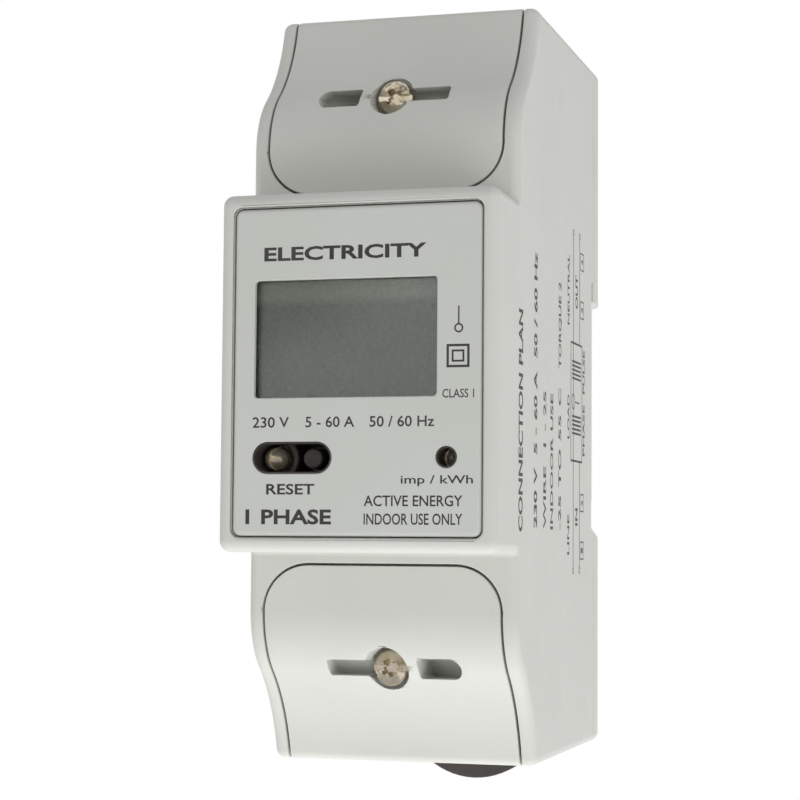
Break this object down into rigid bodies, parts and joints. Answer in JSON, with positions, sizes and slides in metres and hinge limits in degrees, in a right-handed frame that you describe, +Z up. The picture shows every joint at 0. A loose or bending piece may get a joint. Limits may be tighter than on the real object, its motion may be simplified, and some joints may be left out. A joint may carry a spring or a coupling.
{
  "type": "smart electric meter",
  "caption": "Two-module rail-mounted electricity meter with a display, sealed terminal covers, clamp terminals and a spring-loaded rail clip.",
  "frame": {"origin": "middle of the rail seat, the flat floor of the rail recess, level with the middle of the rail", "axes": "+X to the right seen from the front, +Y from the front towards the rail, +Z up along the meter"},
  "size_m": [0.036, 0.065, 0.1058],
  "materials": {
    "case_plastic": "light warm grey moulded PC/ABS, fine matt texture",
    "plate_plastic": "light grey printed front panel, satin",
    "clear_window": "clear moulded window, gloss",
    "lcd": "dark grey-green unlit liquid crystal display",
    "white_plastic": "white moulded nylon",
    "black_plastic": "brown-black moulded nylon",
    "led_resin": "water-clear LED resin, gloss",
    "nickel_steel": "nickel plated turned steel",
    "zinc_steel": "zinc plated steel",
    "spring_steel": "drawn spring wire",
    "brass": "knurled brass",
    "copper": "tinned-edge copper strip",
    "manganin": "grey-brown resistance alloy strip",
    "circuit_board": "green solder mask on glass fibre board",
    "conductive_rubber": "layered elastomer connector",
    "red_insulation": "red PVC wire insulation",
    "blue_epoxy": "blue epoxy coating",
    "yellow_box": "yellow film capacitor box",
    "capacitor_sleeve": "dark shrink sleeve over an aluminium can"
  },
  "bodies": {
    "housing": {"main_case": "case_plastic", "rear_base": "case_plastic", "front_plate": "plate_plastic", "lcd_lens": "clear_window", "lcd_glass": "lcd", "lcd_backlight": "white_plastic", "lcd_holder": "white_plastic", "elastomer_strip_upper": "conductive_rubber", "elastomer_strip_lower": "conductive_rubber", "ir_led": "led_resin", "ir_led_holder": "black_plastic", "pulse_led": "led_resin", "reset_switch": "black_plastic", "display_board": "circuit_board", "metering_board": "circuit_board", "board_header": "black_plastic", "microcontroller": "black_plastic", "metering_chip": "black_plastic", "optocoupler": "black_plastic", "crystal": "zinc_steel", "x_capacitor": "yellow_box", "varistor": "blue_epoxy", "electrolytic_capacitor_1": "capacitor_sleeve", "electrolytic_capacitor_2": "capacitor_sleeve", "live_busbar_in": "copper", "shunt_resistor": "manganin", "live_busbar_out": "copper", "neutral_busbar": "copper", "sense_wire_lower": "red_insulation", "sense_wire_upper": "red_insulation", "neutral_lead": "red_insulation", "clip_spring": "spring_steel", "case_screw_1": "zinc_steel", "case_screw_2": "zinc_steel", "case_screw_3": "zinc_steel", "case_screw_4": "zinc_steel", "top_cover_nut": "brass", "bottom_cover_nut": "brass"},
    "din_clip": {"din_clip": "black_plastic"},
    "reset_button": {"reset_button": "black_plastic"},
    "top_cover": {"top_terminal_cover": "case_plastic"},
    "top_screw_carrier": {"top_screw_washer": "white_plastic"},
    "top_cover_screw": {"top_cover_screw": "nickel_steel"},
    "top_left_clamp": {"top_left_clamp": "zinc_steel"},
    "top_left_screw": {"top_left_terminal_screw": "zinc_steel"},
    "top_right_clamp": {"top_right_clamp": "zinc_steel"},
    "top_right_screw": {"top_right_terminal_screw": "zinc_steel"},
    "bottom_cover": {"bottom_terminal_cover": "case_plastic"},
    "bottom_screw_carrier": {"bottom_screw_washer": "white_plastic"},
    "bottom_cover_screw": {"bottom_cover_screw": "nickel_steel"},
    "bottom_left_clamp": {"bottom_left_clamp": "zinc_steel"},
    "bottom_left_screw": {"bottom_left_terminal_screw": "zinc_steel"},
    "bottom_right_clamp": {"bottom_right_clamp": "zinc_steel"},
    "bottom_right_screw": {"bottom_right_terminal_screw": "zinc_steel"}
  },
  "joints": [
    {"name": "clip_slide", "type": "slide", "parent": "housing", "child": "din_clip", "axis": [0, 0, -1], "range_m": [0, 0.004], "stiffness_N_per_m": 1500, "springref_m": -0.002, "deforming": ["clip_spring"]},
    {"name": "reset_press", "type": "slide", "parent": "housing", "child": "reset_button", "axis": [0, 1, 0], "range_m": [0, 0.0005], "stiffness_N_per_m": 2500, "springref_m": -0.0002},
    {"name": "top_cover_lift", "type": "slide", "parent": "housing", "child": "top_cover", "axis": [0, -1, 0], "range_m": [0, 0.025]},
    {"name": "top_screw_travel", "type": "slide", "parent": "top_cover", "child": "top_screw_carrier", "axis": [0, -1, 0], "range_m": [0, 0.0045]},
    {"name": "top_screw_turn", "type": "hinge", "parent": "top_screw_carrier", "child": "top_cover_screw", "pos_m": [0, -0.04, 0.0373], "axis": [0, -1, 0], "range_deg": [0, 3240]},
    {"name": "top_left_clamp_rise", "type": "slide", "parent": "housing", "child": "top_left_clamp", "axis": [0, -1, 0], "range_m": [0, 0.0064]},
    {"name": "top_left_screw_turn", "type": "hinge", "parent": "housing", "child": "top_left_screw", "pos_m": [-0.00855, -0.03, 0.0405], "axis": [0, 1, 0], "range_deg": [0, 2880]},
    {"name": "top_right_clamp_rise", "type": "slide", "parent": "housing", "child": "top_right_clamp", "axis": [0, -1, 0], "range_m": [0, 0.0064]},
    {"name": "top_right_screw_turn", "type": "hinge", "parent": "housing", "child": "top_right_screw", "pos_m": [0.00855, -0.03, 0.0405], "axis": [0, 1, 0], "range_deg": [0, 2880]},
    {"name": "bottom_cover_lift", "type": "slide", "parent": "housing", "child": "bottom_cover", "axis": [0, -1, 0], "range_m": [0, 0.025]},
    {"name": "bottom_screw_travel", "type": "slide", "parent": "bottom_cover", "child": "bottom_screw_carrier", "axis": [0, -1, 0], "range_m": [0, 0.0045]},
    {"name": "bottom_screw_turn", "type": "hinge", "parent": "bottom_screw_carrier", "child": "bottom_cover_screw", "pos_m": [0, -0.04, -0.0373], "axis": [0, -1, 0], "range_deg": [0, 3240]},
    {"name": "bottom_left_clamp_rise", "type": "slide", "parent": "housing", "child": "bottom_left_clamp", "axis": [0, -1, 0], "range_m": [0, 0.0064]},
    {"name": "bottom_left_screw_turn", "type": "hinge", "parent": "housing", "child": "bottom_left_screw", "pos_m": [-0.00855, -0.03, -0.0405], "axis": [0, 1, 0], "range_deg": [0, 2880]},
    {"name": "bottom_right_clamp_rise", "type": "slide", "parent": "housing", "child": "bottom_right_clamp", "axis": [0, -1, 0], "range_m": [0, 0.0064]},
    {"name": "bottom_right_screw_turn", "type": "hinge", "parent": "housing", "child": "bottom_right_screw", "pos_m": [0.00855, -0.03, -0.0405], "axis": [0, 1, 0], "range_deg": [0, 2880]}
  ],
  "couplings": [
    {"joint": "top_screw_turn", "follows": "top_screw_travel", "rad_per_m": 12566},
    {"joint": "top_left_screw_turn", "follows": "top_left_clamp_rise", "rad_per_m": 7854},
    {"joint": "top_right_screw_turn", "follows": "top_right_clamp_rise", "rad_per_m": 7854},
    {"joint": "bottom_screw_turn", "follows": "bottom_screw_travel", "rad_per_m": 12566},
    {"joint": "bottom_left_screw_turn", "follows": "bottom_left_clamp_rise", "rad_per_m": 7854},
    {"joint": "bottom_right_screw_turn", "follows": "bottom_right_clamp_rise", "rad_per_m": 7854}
  ]
}
